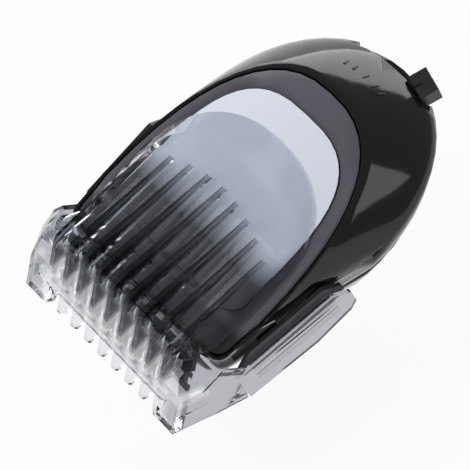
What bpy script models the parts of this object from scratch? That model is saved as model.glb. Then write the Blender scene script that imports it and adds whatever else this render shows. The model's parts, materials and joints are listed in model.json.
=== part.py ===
"""Click-on beard trimmer head with a clear length comb.

The head stands on its coupling collar: +X is its right, +Y its selector end, +Z up, and the origin is on the
collar's axis, in the plane that it stands on. Sizes are in metres.
"""

import math

import bmesh
import bpy
from mathutils import Matrix, Vector

MM = 0.001

# Collar axis, from the middle of the whole length
COLLAR_Y = -0.33 * MM

# General fits, and the slight bow of every plan outline's front edge
GAP = 0.3 * MM
WALL = 1.4 * MM
FRONT_BOW = 0.4 * MM

# Deck: the pitched plane that the panel, the selector and the comb's slide follow
DECK_PITCH = math.radians(20)
DECK_Y = 2.4 * MM
DECK_Z = 30.0 * MM

# Face panel, in the deck's frame
PANEL_HALF_WIDTH = 20.3 * MM
PANEL_APEX = 15.2 * MM
PANEL_CENTRE = -21.8 * MM
PANEL_FRONT = -30.4 * MM
PANEL_POWER = 2.5
PANEL_CORNER = 2.5 * MM
PANEL_NARROWING = 0.6 * MM
RIM_LAND = 0.55 * MM
PANEL_THICKNESS = 1.6 * MM
PANEL_EDGE = 0.25 * MM
PANEL_CREST = 4.0 * MM
PANEL_LONG_RADIUS = 312 * MM
PANEL_CROSS_RADIUS = 96 * MM

# Label sheet, let into the panel
LABEL_HALF_WIDTH = 16.5 * MM
LABEL_APEX = 9.6 * MM
LABEL_CENTRE = -15.0 * MM
LABEL_FRONT = -24.0 * MM
LABEL_POWER = 3.0
LABEL_CORNER = 3.0 * MM
LABEL_THICKNESS = 0.25 * MM
LABEL_PROUD = 0.05 * MM

# Housing: widest line (waist), parting plane and coupling collar
WAIST_HALF_WIDTH = 23.2 * MM
WAIST_REAR = 34.5 * MM
WAIST_CENTRE = 7.4 * MM
WAIST_FRONT = -26.2 * MM
WAIST_POWER = 2.05
WAIST_CORNER = 5.0 * MM
WAIST_NARROWING = 3.0 * MM
NARROWING_POWER = 0.6
WAIST_HEIGHT = 18.5 * MM
WAIST_SLOPE = 0.28
FLANK_POWER = 1.7
REAR_FLANK_POWER = 1.13
HOLLOW_DROP = 0.5
BELLY_POWER = 1.7
PARTING_DROP = 4.0 * MM
COLLAR_RADIUS = 12.5 * MM
COLLAR_BORE = 10.8 * MM
COLLAR_HEIGHT = 3.0 * MM
COLLAR_DEPTH = 5.0 * MM
FLOOR_HEIGHT = 6.5 * MM

# Selector: a plate that swings on the hub post and shows in the rear slot
HUB_V = 7.0 * MM
HUB_POST_RADIUS = 2.2 * MM
HUB_RADIUS = 5.0 * MM
SELECTOR_TOP = -11.6 * MM
SELECTOR_THICKNESS = 1.8 * MM
STRIP_INNER = 17.9 * MM
STRIP_RADIUS = 19.5 * MM
STRIP_FLARE = 0.3 * MM
STRIP_TOP = -10.7 * MM
STRIP_CREST = 0.4 * MM
STRIP_LIP = 0.4 * MM
STRIP_HALF_ANGLE = math.radians(33.6)
WEB_HALF_ANGLE = math.radians(20)
SWING_HALF_ANGLE = math.radians(16.1)
SLOT_TOP = -10.2 * MM
SLOT_HEIGHT = 3.6 * MM
DRIVE_PIN_OFFSET = 7.2 * MM
DRIVE_PIN_RADIUS = 1.1 * MM
DETENT_COUNT = 5
DETENT_RADIUS = 0.6 * MM
LEAF_THICKNESS = 0.4 * MM
LEAF_FOOT_U = 9.0 * MM
LEAF_FOOT_V = -6.2 * MM
LEAF_TAIL = 2.4 * MM
PEG_RADIUS = 0.9 * MM
RETAINER_RADIUS = 4.0 * MM
RETAINER_THICKNESS = 1.2 * MM

# Selector button
BUTTON_WIDTH = 5.0 * MM
BUTTON_TAB = 21.0 * MM
BUTTON_STEM = 16.4 * MM
BUTTON_REACH = 24.5 * MM
BUTTON_HEIGHT = 3.6 * MM
BUTTON_TRAVEL = 0.3 * MM
BUTTON_MARK = 0.6 * MM
BUTTON_MARK_INSET = 2.0 * MM
SLOT_HALF_ANGLE = SWING_HALF_ANGLE + math.asin((BUTTON_WIDTH / 2 + GAP) / STRIP_INNER)

# Chassis under the panel, and the pillars that carry it
CHASSIS_HALF_WIDTH = 17.5 * MM
CHASSIS_INSET = 4.0 * MM
CHASSIS_THICKNESS = 1.5 * MM
PILLAR_RADIUS = 2.9 * MM
REAR_PILLAR = (13.6 * MM, -6.0 * MM)
FRONT_PILLAR = (9.5 * MM, -26.4 * MM)
SCREW_RADIUS = 1.1 * MM
SCREW_HEAD_RADIUS = 1.9 * MM
SCREW_HEAD_HEIGHT = 1.3 * MM
REAR_SCREW_SEAT = -19.5 * MM
FRONT_SCREW_SEAT = -13.5 * MM

# Carriage and side rails, in the deck's frame
BRIDGE_TOP = -6.3 * MM
BRIDGE_THICKNESS = 1.4 * MM
BRIDGE_FRONT = -19.0 * MM
BRIDGE_DEPTH = 6.5 * MM
TONGUE_WIDTH = 5.2 * MM
TONGUE_MARGIN = 2.4 * MM
CARRIAGE_TRAVEL = 4.0 * MM
RAIL_SPREAD = 0.075
RAIL_INNER = 23.15 * MM
RAIL_THICKNESS = 0.8 * MM
RAIL_FRONT = -29.0 * MM
RAIL_REAR = -6.5 * MM
RAIL_TOP = -5.6 * MM
RAIL_HEIGHT = 5.0 * MM
RAIL_CHAMFER = 3.2 * MM

# Comb, in the deck's frame; its widths follow the outer rib
RIB_COUNT = 9
RIB_PITCH = 3.75 * MM
OUTER_RIB = RIB_PITCH * (RIB_COUNT // 2)
PLATEAU_HALF_WIDTH = OUTER_RIB + 1.0 * MM
RIM_HALF_WIDTH = OUTER_RIB + 3.5 * MM
RIM_RISE_V = -29.0 * MM
SHEET_LIFT = 0.35 * MM
SHEET_EDGE = 0.35 * MM
SHEET_TOP = 1.2 * MM
SHEET_THICKNESS = 0.8 * MM
SHEET_FRONT = -35.4 * MM
SHEET_CORNER = 3.0 * MM
RIM_APEX = 3.2 * MM
RIM_CENTRE = -15.0 * MM
RIM_POWER = 2.3
PLATEAU_APEX = -3.6 * MM
PLATEAU_POWER = 2.6
RIB_THICKNESS = 1.0 * MM
RIB_REAR = -9.0 * MM
RIB_REAR_SWEEP = 4.4 * MM
RIB_REAR_RISE = 0.5 * MM
RIB_DEPTH = 2.6 * MM
BEND_V = -34.2 * MM
BEND_RISE = 3.8 * MM
BEND_ROUND = 1.4 * MM
CROWN_DROP = 2.0 * MM
CROWN_POWER = 3
TIP_V = -44.7 * MM
TIP_DROP = 11.5 * MM
BAR_HEIGHT = 2.3 * MM
BAR_ABOVE_TIP = 5.6 * MM
BAR_THICKNESS = 0.9 * MM
BAR_HALF_LENGTH = OUTER_RIB + 2.3 * MM
POST_INNER = OUTER_RIB - 0.3 * MM
POST_OUTER = OUTER_RIB + 5.3 * MM
POST_TOE = 0.4 * MM
POST_HEIGHT = 9.0 * MM
CHEEK_HEIGHT = 7.6 * MM
SHOULDER_INNER = OUTER_RIB - 0.4 * MM
SHOULDER_OUTER = OUTER_RIB + 3.9 * MM
REAR_SHOULDER_OUTER = OUTER_RIB + 2.0 * MM
SHOULDER_TOP = 1.0 * MM
SHOULDER_DROP = 0.9 * MM
FRONT_SHOULDER_HEIGHT = 14.4 * MM
WALL_STEP = 0.2 * MM
WALL_THICKNESS = 0.53 * MM
WALL_TOP = -4.1 * MM
WALL_FRONT = -36.0 * MM
WALL_FRONT_LEAN = -0.8 * MM
WALL_FRONT_FOOT = -14.4 * MM
WALL_REAR = -32.4 * MM
WALL_REAR_LEAN = 3.2 * MM
WALL_REAR_TOP = -3.0 * MM
WALL_SLANT = 1.6 * MM
ARM_THICKNESS = 0.8 * MM
ARM_FRONT = -30.5 * MM
ARM_REAR = -6.0 * MM
ARM_TOP = -7.9 * MM
ARM_BOTTOM = -18.4 * MM
ARM_CHAMFER = 3.2 * MM
ARM_TAPER = 0.8 * MM
ARM_GROOVE = 0.3 * MM
ARM_GROOVES = ((-9.4 * MM, -10.6 * MM), (-12.2 * MM, -14.2 * MM))

# Cutter, in a frame that lies along the comb's front face with its origin at the tooth tips
CUT_Y = -32.2 * MM
CUT_Z = 6.5 * MM
FACE_LEAN = math.radians(12.7)
FIXED_HALF_WIDTH = 16.0 * MM
FIXED_HEIGHT = 10.2 * MM
FIXED_THICKNESS = 0.7 * MM
TOOTH_PITCH = 1.6 * MM
TOOTH_WIDTH = 0.9 * MM
TOOTH_LENGTH = 2.6 * MM
MOVING_HALF_WIDTH = 14.4 * MM
MOVING_THICKNESS = 0.5 * MM
MOVING_TIP = 0.5 * MM
MOVING_SHOULDER = 5.0 * MM
MOVING_HEIGHT = 9.6 * MM
MOVING_NECK = 7.0 * MM
BLADE_SCREW_X = OUTER_RIB - RIB_PITCH / 2
HOLDER_HALF_WIDTH = BLADE_SCREW_X + 3.9 * MM
HOLDER_BOTTOM = 1.6 * MM
HOLDER_THICKNESS = 1.0 * MM
LEAF_SPRING_Z = 3.4 * MM
LEAF_SPRING_HEIGHT = 1.6 * MM
LEAF_SPRING_HALF_LENGTH = 12.0 * MM
LEAF_SPRING_THICKNESS = 0.3 * MM
DRIVER_HALF_WIDTH = 3.0 * MM
DRIVER_BOTTOM = 5.8 * MM
DRIVER_HEIGHT = 3.4 * MM
DRIVER_DEPTH = 3.4 * MM
BLADE_STROKE = 0.8 * MM
BLADE_SCREW_Z = 9.0 * MM
BLADE_SCREW_RADIUS = 0.7 * MM
BLADE_SCREW_HEAD = 1.1 * MM
BLADE_SCREW_LENGTH = 5.5 * MM
BLADE_SCREW_HEAD_HEIGHT = 0.6 * MM

# Drive: spindle on the collar's axis, and the rocker that it swings
SPINDLE_RADIUS = 2.4 * MM
SPINDLE_BOTTOM = 1.4 * MM
SPINDLE_TOP = 10.8 * MM
SOCKET_RADIUS = 4.0 * MM
SOCKET_HEIGHT = 3.2 * MM
SOCKET_DEPTH = 2.4 * MM
SOCKET_WIDTH = 3.0 * MM
ECCENTRIC_OFFSET = 0.8 * MM
ECCENTRIC_RADIUS = 0.8 * MM
ECCENTRIC_TOP = 15.0 * MM
BUSH_RADIUS = 4.6 * MM
BUSH_FLANGE_RADIUS = 6.2 * MM
BUSH_FLANGE = 0.9 * MM
SEAL_RADIUS = 4.6 * MM
SEAL_THICKNESS = 1.1 * MM
ROCKER_BOTTOM = 12.3 * MM
ROCKER_THICKNESS = 1.8 * MM
ROCKER_PIVOT_Y = -14.0 * MM
ROCKER_TIP_Y = -27.0 * MM
ROCKER_TIP_WIDTH = 2.4 * MM
NOSE_WINDOW_DEPTH = 8.0 * MM
ROCKER_BOSS_RADIUS = 3.2 * MM
ROCKER_FORK_REACH = 2.5 * MM
ROCKER_TINE = 1.5 * MM
ROCKER_PIN_RADIUS = 1.2 * MM
ROCKER_PIN_TOP = 14.9 * MM

# Steps of the curves
REAR_STEPS = 12
SIDE_STEPS = 5
CORNER_STEPS = 4
SECTION_STEPS = 7
PANEL_COLUMNS = 8
ARC_STEPS = 12
STRIP_STEPS = 20
ROUND_SIDES = 32
SMALL_SIDES = 20
FAR = 100 * MM
OVERCUT = 2.0 * MM
OVERLAP = 1.0 * MM
MERGE_DISTANCE = 0.001 * MM

DECK = Matrix.Translation((0, DECK_Y, DECK_Z)) @ Matrix.Rotation(DECK_PITCH, 4, "X")
SIDE_PLANE = Matrix(((0, 0, 1, 0), (1, 0, 0, 0), (0, 1, 0, 0), (0, 0, 0, 1)))
FRONT_PLANE = Matrix.Rotation(math.pi / 2, 4, "X")


def start_scene():
    """Clear the scene and make the collections for the parts and the cutters."""
    for item in list(bpy.data.objects):
        bpy.data.objects.remove(item)
    made = []
    for name in ("beard_trimmer_head", "cutters"):
        collection = bpy.data.collections.new(name)
        bpy.context.scene.collection.children.link(collection)
        made.append(collection)
    return made


PARTS, CUTTERS = start_scene()


def make_material(name, colour, roughness, metallic=0.0):
    """Principled material of one colour."""
    material = bpy.data.materials.new(name)
    material.use_nodes = True
    shader = material.node_tree.nodes["Principled BSDF"]
    shader.inputs["Base Color"].default_value = (*colour, 1.0)
    shader.inputs["Roughness"].default_value = roughness
    shader.inputs["Metallic"].default_value = metallic
    return material


GLOSS_BLACK = make_material("gloss_black", (0.012, 0.012, 0.013), 0.15)
MATTE_BLACK = make_material("matte_black", (0.02, 0.02, 0.022), 0.45)
PANEL_GREY = make_material("panel_grey", (0.11, 0.105, 0.125), 0.55)
LABEL_WHITE = make_material("label_white", (0.68, 0.71, 0.77), 0.5)
CLEAR = make_material("clear_smoke", (0.42, 0.42, 0.46), 0.08)
GREY_NYLON = make_material("grey_nylon", (0.3, 0.3, 0.31), 0.5)
WHITE_NYLON = make_material("white_nylon", (0.8, 0.8, 0.78), 0.45)
STEEL = make_material("steel", (0.6, 0.6, 0.6), 0.3, 1.0)
RUBBER = make_material("rubber", (0.03, 0.03, 0.03), 0.8)


def make_frame(name, matrix, parent=None):
    """Empty that carries pieces in its own frame."""
    frame = bpy.data.objects.new(name, None)
    PARTS.objects.link(frame)
    frame.parent = parent
    frame.matrix_local = matrix
    return frame


BODY_FRAME = make_frame("body_frame", Matrix.Translation((0, COLLAR_Y, 0)))
DECK_FRAME = make_frame("deck_frame", DECK, BODY_FRAME)
HUB_FRAME = make_frame("hub_frame", Matrix.Translation((0, HUB_V, 0)), DECK_FRAME)
SELECTOR_FRAME = make_frame("selector_axis", Matrix.Rotation(-SWING_HALF_ANGLE, 4, "Z"), HUB_FRAME)
CUTTER_FRAME = make_frame(
    "cutter_frame", Matrix.Translation((0, CUT_Y, CUT_Z)) @ Matrix.Rotation(-FACE_LEAN, 4, "X"), BODY_FRAME
)
PARTING_FRAME = make_frame(
    "parting_frame",
    Matrix.Translation((0, 0, WAIST_HEIGHT - PARTING_DROP)) @ Matrix.Rotation(math.atan(WAIST_SLOPE), 4, "X"),
    BODY_FRAME,
)
ROCKER_FRAME = make_frame("rocker_axis", Matrix.Translation((0, ROCKER_PIVOT_Y, 0)), BODY_FRAME)
COMB_FRONT_LEAN = math.atan2(BEND_V - TIP_V, TIP_DROP + SHEET_TOP + BEND_RISE)
COMB_FRONT_FRAME = make_frame(
    "comb_front_frame",
    Matrix.Translation((0, TIP_V, -TIP_DROP)) @ Matrix.Rotation(-COMB_FRONT_LEAN, 4, "X"), DECK_FRAME,
)


def add_object(name, mesh, frame, material=None):
    """Put a mesh in the scene as a part, or as a cutter when it has no material."""
    item = bpy.data.objects.new(name, mesh)
    item.parent = frame
    if material is None:
        CUTTERS.objects.link(item)
        item.hide_render = True
        item.display_type = "WIRE"
    else:
        PARTS.objects.link(item)
        mesh.materials.append(material)
    return item


def mesh_from(bm, name):
    """Finish a bmesh as a mesh with its faces pointing out."""
    bmesh.ops.recalc_face_normals(bm, faces=bm.faces)
    mesh = bpy.data.meshes.new(name)
    bm.to_mesh(mesh)
    bm.free()
    return mesh


def box(name, low, high, frame, material=None):
    """Box between two corners."""
    bm = bmesh.new()
    bmesh.ops.create_cube(bm, size=1.0)
    low, high = Vector(low), Vector(high)
    bmesh.ops.scale(bm, vec=high - low, verts=bm.verts)
    bmesh.ops.translate(bm, vec=(low + high) / 2, verts=bm.verts)
    return add_object(name, mesh_from(bm, name), frame, material)


def rod(name, radius, start, end, frame, material=None, sides=ROUND_SIDES):
    """Cylinder between two points that differ along one axis."""
    bm = bmesh.new()
    start, end = Vector(start), Vector(end)
    span = end - start
    bmesh.ops.create_cone(
        bm, cap_ends=True, segments=sides, radius1=radius, radius2=radius, depth=span.length
    )
    half_side = Matrix.Rotation(math.pi / sides, 3, "Z")
    turn = Vector((0, 0, 1)).rotation_difference(span).to_matrix()
    bmesh.ops.rotate(bm, matrix=turn @ half_side, verts=bm.verts)
    bmesh.ops.translate(bm, vec=(start + end) / 2, verts=bm.verts)
    mesh = mesh_from(bm, name)
    mesh.shade_smooth()
    mesh.set_sharp_from_angle(angle=math.radians(40))
    return add_object(name, mesh, frame, material)


def outline_mesh(name, outlines, thickness, place):
    """Mesh of flat outlines with a thickness, drawn in millimetres, centred on their plane and then placed."""
    curve = bpy.data.curves.new(name, "CURVE")
    curve.dimensions = "2D"
    curve.fill_mode = "BOTH"
    curve.extrude = thickness / 2 / MM
    for outline in outlines:
        spline = curve.splines.new("POLY")
        spline.points.add(len(outline) - 1)
        for point, (a, b) in zip(spline.points, outline):
            point.co = (a / MM, b / MM, 0, 1)
        spline.use_cyclic_u = True
    guide = bpy.data.objects.new(name, curve)
    CUTTERS.objects.link(guide)
    depsgraph = bpy.context.evaluated_depsgraph_get()
    mesh = bpy.data.meshes.new_from_object(guide.evaluated_get(depsgraph))
    bpy.data.objects.remove(guide)
    bpy.data.curves.remove(curve)
    bm = bmesh.new()
    bm.from_mesh(mesh)
    bpy.data.meshes.remove(mesh)
    bmesh.ops.remove_doubles(bm, verts=bm.verts, dist=0.001)
    bmesh.ops.transform(bm, matrix=place @ Matrix.Scale(MM, 4), verts=bm.verts)
    return mesh_from(bm, name)


def plan_plate(name, outlines, bottom, thickness, frame, material=None):
    """Plate whose outline lies in the frame's X and Y."""
    place = Matrix.Translation((0, 0, bottom + thickness / 2))
    return add_object(name, outline_mesh(name, outlines, thickness, place), frame, material)


def front_plate(name, outlines, front, thickness, frame, material=None):
    """Plate whose outline lies in the frame's X and Z, going back from its front face."""
    place = Matrix.Translation((0, front + thickness / 2, 0)) @ FRONT_PLANE
    return add_object(name, outline_mesh(name, outlines, thickness, place), frame, material)


def side_plate(name, outlines, middle, thickness, frame, material=None, turn=0.0):
    """Plate whose outline lies in the frame's Y and Z, turned about its own upright."""
    place = Matrix.Translation((middle, 0, 0)) @ Matrix.Rotation(turn, 4, "Z") @ SIDE_PLANE
    return add_object(name, outline_mesh(name, outlines, thickness, place), frame, material)


def boolean(target, tool, operation):
    """Cut, fuse or intersect a part with a tool."""
    modifier = target.modifiers.new(tool.name, "BOOLEAN")
    modifier.operation = operation
    modifier.solver = "EXACT"
    modifier.object = tool


def cut(target, *tools):
    """Cut each tool out of a part."""
    for tool in tools:
        boolean(target, tool, "DIFFERENCE")


def fuse(target, *tools):
    """Join each tool to a part."""
    for tool in tools:
        boolean(target, tool, "UNION")


def half_outline(half_width, apex, centre, front, power, corner, narrowing=0.0):
    """Right half of a plan outline, from its rear point round to the middle of its front."""
    points = []
    for i in range(REAR_STEPS + 1):
        angle = 0.5 * math.pi * i / REAR_STEPS
        across = half_width * math.sin(angle) ** (2 / power)
        along = centre + (apex - centre) * max(math.cos(angle), 0.0) ** (2 / power)
        points.append((across, along))
    side_end = front + corner
    for i in range(1, SIDE_STEPS + 1):
        share = i / SIDE_STEPS
        across = half_width - narrowing * share**NARROWING_POWER
        points.append((across, centre + (side_end - centre) * share))
    for i in range(1, CORNER_STEPS + 1):
        angle = 0.5 * math.pi * i / CORNER_STEPS
        across = half_width - narrowing - corner * (1 - math.cos(angle))
        points.append((across, side_end - corner * math.sin(angle)))
    points.append((0.0, front - FRONT_BOW))
    return points


def panel_height(u, v):
    """Height of the crowned panel surface above the deck's plane."""
    return -((v - PANEL_CREST) ** 2) / (2 * PANEL_LONG_RADIUS) - u**2 / (2 * PANEL_CROSS_RADIUS)


def panel_outline(grow):
    """Half outline of the panel, grown on every side."""
    return half_outline(
        PANEL_HALF_WIDTH + grow, PANEL_APEX + grow, PANEL_CENTRE, PANEL_FRONT - grow, PANEL_POWER, PANEL_CORNER,
        PANEL_NARROWING,
    )


def on_panel(outline, rise):
    """Half ring that follows the panel surface at a height over it."""
    return [Vector((u, v, panel_height(u, v) + rise)) for u, v in outline]


def loft(name, rings, frame, material=None, columns=1):
    """Closed solid through half rings, mirrored in X, with caps that follow the first and last rings' crown."""
    bm = bmesh.new()
    loops = []
    for ring in rings:
        right = [bm.verts.new(point) for point in ring]
        left = [bm.verts.new((-point[0], point[1], point[2])) for point in ring[1:-1]]
        loops.append(right + left[::-1])
    count = len(loops[0])
    for upper, lower in zip(loops, loops[1:]):
        for i in range(count):
            j = (i + 1) % count
            bm.faces.new((upper[i], upper[j], lower[j], lower[i]))
    for ring, loop in ((rings[0], loops[0]), (rings[-1], loops[-1])):
        add_cap(bm, ring, loop, columns)
    bmesh.ops.triangulate(bm, faces=bm.faces)
    mesh = mesh_from(bm, name)
    mesh.shade_smooth()
    mesh.set_sharp_from_angle(angle=math.radians(35))
    return add_object(name, mesh, frame, material)


def add_cap(bm, ring, loop, columns):
    """Close a mirrored ring with rows that run from its left to its right side."""
    last = len(ring) - 1
    crown = 1 / (2 * PANEL_CROSS_RADIUS) if columns > 1 else 0.0
    rows = []
    for i in range(1, last):
        right, left = loop[i], loop[len(loop) - i]
        row = [left]
        for k in range(1, columns):
            across = ring[i][0] * (2 * k / columns - 1)
            height = ring[i][2] + crown * (ring[i][0] ** 2 - across**2)
            row.append(bm.verts.new((across, ring[i][1], height)))
        rows.append(row + [right])
    for first, second in zip(rows, rows[1:]):
        for k in range(columns):
            bm.faces.new((first[k], first[k + 1], second[k + 1], second[k]))
    for row, end in ((rows[0], loop[0]), (rows[-1], loop[last])):
        for k in range(columns):
            bm.faces.new((row[k], row[k + 1], end))


def skin(sections):
    """Faces between like sections that follow one another, and the loops of points that they join."""
    bm = bmesh.new()
    loops = [[bm.verts.new(point) for point in section] for section in sections]
    count = len(loops[0])
    for first, second in zip(loops, loops[1:]):
        for i in range(count):
            j = (i + 1) % count
            bm.faces.new((first[i], first[j], second[j], second[i]))
    return bm, loops


def arc(radius, start, end, steps, centre=(0.0, 0.0)):
    """Points on an arc, with angles measured from the Y axis towards the X axis."""
    angles = [start + (end - start) * i / steps for i in range(steps + 1)]
    return [(centre[0] + radius * math.sin(a), centre[1] + radius * math.cos(a)) for a in angles]


# Housing

def section(share, power):
    """Place on a quarter of a rounded section: outward share and downward share."""
    angle = 0.5 * math.pi * share
    outward = math.sin(angle) ** (2 / power)
    downward = 1 - max(math.cos(angle), 0.0) ** (2 / power)
    return outward, downward


def flank_power(i):
    """Power of the flank's section at a point of the outline, flatter over the rear than at the sides."""
    return REAR_FLANK_POWER + (FLANK_POWER - REAR_FLANK_POWER) * min(i / REAR_STEPS, 1.0)


def housing_solid(name, inset, rise, floor, material=None):
    """Solid of the housing's outer shape, or of its hollow when it is inset."""
    rim = panel_outline(GAP + RIM_LAND - inset)
    waist = half_outline(
        WAIST_HALF_WIDTH - inset, WAIST_REAR - inset, WAIST_CENTRE, WAIST_FRONT + inset,
        WAIST_POWER, WAIST_CORNER, WAIST_NARROWING,
    )
    count = len(rim)
    base = []
    for i in range(count):
        front_share = (i - REAR_STEPS) / (count - 1 - REAR_STEPS)
        angle = math.pi / 2 * (i / REAR_STEPS if i <= REAR_STEPS else 1 + front_share)
        base.append(((COLLAR_RADIUS - inset) * math.sin(angle), (COLLAR_RADIUS - inset) * math.cos(angle)))
    base[-1] = (0.0, base[-1][1])
    rings = []
    if rise > 0:
        rings.append([DECK @ point for point in on_panel(rim, rise)])
    top = [DECK @ point for point in on_panel(rim, 0.0)]
    lowering = HOLLOW_DROP * inset
    for step in range(SECTION_STEPS + 1):
        ring = []
        for i, (start, (x, y)) in enumerate(zip(top, waist)):
            outward, downward = section(step / SECTION_STEPS, flank_power(i))
            end = Vector((x, y, WAIST_HEIGHT + WAIST_SLOPE * y))
            ring.append(
                Vector((
                    start.x + (end.x - start.x) * outward,
                    start.y + (end.y - start.y) * outward,
                    start.z + (end.z - start.z) * downward - lowering,
                ))
            )
        rings.append(ring)
    for step in range(1, SECTION_STEPS + 1):
        down, inward = section(step / SECTION_STEPS, BELLY_POWER)
        ring = []
        for (x, y), (base_x, base_y) in zip(waist, base):
            height = WAIST_HEIGHT + WAIST_SLOPE * y - lowering
            ring.append(
                Vector((
                    x + (base_x - x) * inward,
                    y + (base_y - y) * inward,
                    height + (floor - height) * down,
                ))
            )
        rings.append(ring)
    return loft(name, rings, BODY_FRAME, material)


def band(name, low_height, high_height, low_along, high_along, frame):
    """Cutter across the whole width of the object."""
    return box(name, (-FAR, low_along, low_height), (FAR, high_along, high_height), frame)


def slot_cutter():
    """Annular sector that opens the housing's rear for the selector."""
    inner = arc(STRIP_INNER - GAP, -SLOT_HALF_ANGLE, SLOT_HALF_ANGLE, ARC_STEPS)
    outer = arc(HUB_V + WAIST_REAR, SLOT_HALF_ANGLE, -SLOT_HALF_ANGLE, ARC_STEPS)
    return plan_plate("selector_slot", [inner + outer], SLOT_TOP - SLOT_HEIGHT, SLOT_HEIGHT, HUB_FRAME)


def pillar_places():
    """Deck places of the four pillars, each with the height of its screw seat."""
    for (u, v), seat in ((REAR_PILLAR, REAR_SCREW_SEAT), (FRONT_PILLAR, FRONT_SCREW_SEAT)):
        for side in (-1, 1):
            yield side * u, v, seat


def chassis_bottom(u, v):
    """Height of the chassis's underside."""
    return panel_height(u, v) - PANEL_THICKNESS - GAP - CHASSIS_THICKNESS


def build_housing():
    """Upper and lower housings, cut from one shell at the parting plane."""
    hollow = housing_solid("housing_hollow", WALL, 2 * WALL, FLOOR_HEIGHT)
    below = band("below_parting", -FAR, 0.0, -FAR, FAR, PARTING_FRAME)
    above = band("above_parting", -GAP, FAR, -FAR, FAR, PARTING_FRAME)

    upper = housing_solid("upper_housing", 0.0, 0.0, COLLAR_HEIGHT, GLOSS_BLACK)
    seat = [on_panel(panel_outline(GAP), 2 * WALL), on_panel(panel_outline(GAP), -PANEL_THICKNESS - GAP)]
    cut(upper, hollow, loft("panel_seat", seat, DECK_FRAME, None, PANEL_COLUMNS), below, slot_cutter())
    rail_slot = band(
        "rail_slots", BRIDGE_TOP - BRIDGE_THICKNESS - GAP, BRIDGE_TOP + GAP,
        BRIDGE_FRONT - CARRIAGE_TRAVEL - GAP, BRIDGE_FRONT + BRIDGE_DEPTH + GAP, DECK_FRAME,
    )
    half_window = DRIVER_HALF_WIDTH + BLADE_STROKE + 4 * GAP
    nose_window = box(
        "nose_window", (-half_window, WAIST_FRONT - 2 * OVERCUT, ROCKER_BOTTOM - 6 * GAP),
        (half_window, WAIST_FRONT + NOSE_WINDOW_DEPTH, ROCKER_BOTTOM + ROCKER_THICKNESS + 8 * GAP), BODY_FRAME,
    )
    cut(upper, rail_slot, nose_window)
    for side in (-1, 1):
        hole = rod(
            "nose_screw_hole", BLADE_SCREW_RADIUS + GAP, (side * BLADE_SCREW_X, 0, BLADE_SCREW_Z),
            (side * BLADE_SCREW_X, BLADE_SCREW_LENGTH + OVERCUT, BLADE_SCREW_Z), CUTTER_FRAME, None, SMALL_SIDES,
        )
        cut(upper, hole)

    lower = housing_solid("lower_housing", 0.0, 0.0, COLLAR_HEIGHT, GLOSS_BLACK)
    cut(lower, hollow, above)
    middle = housing_solid("wall_middle", WALL / 2, 0.0, (COLLAR_HEIGHT + FLOOR_HEIGHT) / 2)
    for u, v, seat in pillar_places():
        top = chassis_bottom(abs(u) + PILLAR_RADIUS, v - PILLAR_RADIUS) - GAP
        pillar = rod("pillar", PILLAR_RADIUS, (u, v, seat - FAR / 4), (u, v, top), DECK_FRAME)
        boolean(pillar, middle, "INTERSECT")
        fuse(lower, pillar)
    collar = rod("collar", COLLAR_RADIUS, (0, 0, 0), (0, 0, COLLAR_HEIGHT + WALL), BODY_FRAME, None, 48)
    boss_top = ROCKER_BOTTOM - GAP
    boss_foot = (COLLAR_DEPTH + FLOOR_HEIGHT) / 2
    boss = rod(
        "rocker_boss", ROCKER_BOSS_RADIUS, (0, ROCKER_PIVOT_Y, boss_foot),
        (0, ROCKER_PIVOT_Y, boss_top), BODY_FRAME
    )
    fuse(lower, collar, boss)
    bore = rod("collar_bore", COLLAR_BORE, (0, 0, -FAR), (0, 0, COLLAR_DEPTH), BODY_FRAME, None, 48)
    web_hole = rod("web_hole", BUSH_RADIUS + GAP, (0, 0, 0), (0, 0, FLOOR_HEIGHT + OVERCUT), BODY_FRAME)
    pin_hole = rod(
        "pin_hole", ROCKER_PIN_RADIUS + GAP, (0, ROCKER_PIVOT_Y, FLOOR_HEIGHT + GAP),
        (0, ROCKER_PIVOT_Y, boss_top + OVERLAP), BODY_FRAME, None, SMALL_SIDES,
    )
    cut(lower, bore, web_hole, pin_hole)
    for u, v, seat in pillar_places():
        counterbore = rod(
            "counterbore", SCREW_HEAD_RADIUS + GAP, (u, v, -FAR), (u, v, seat), DECK_FRAME, None,
            SMALL_SIDES
        )
        clearance = rod(
            "screw_hole", SCREW_RADIUS + GAP, (u, v, seat - OVERLAP), (u, v, 0), DECK_FRAME, None,
            SMALL_SIDES
        )
        cut(lower, counterbore, clearance)


def build_panel():
    """Face panel, and the label sheet let into it."""
    outline = panel_outline(0.0)
    rings = [
        on_panel(
            panel_outline(-PANEL_EDGE), 0.0), on_panel(outline, -PANEL_EDGE), on_panel(outline,
            -PANEL_THICKNESS
        )
    ]
    panel = loft("face_panel", rings, DECK_FRAME, PANEL_GREY, PANEL_COLUMNS)

    def label_outline(grow):
        return half_outline(
            LABEL_HALF_WIDTH + grow, LABEL_APEX + grow, LABEL_CENTRE, LABEL_FRONT - grow, LABEL_POWER,
            LABEL_CORNER
        )

    label_bottom = LABEL_PROUD - LABEL_THICKNESS
    seat = [on_panel(label_outline(GAP), OVERCUT), on_panel(label_outline(GAP), label_bottom - GAP)]
    cut(panel, loft("label_seat", seat, DECK_FRAME, None, PANEL_COLUMNS))
    sheet = [on_panel(label_outline(0.0), LABEL_PROUD), on_panel(label_outline(0.0), label_bottom)]
    loft("label_sheet", sheet, DECK_FRAME, LABEL_WHITE, PANEL_COLUMNS)


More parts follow.
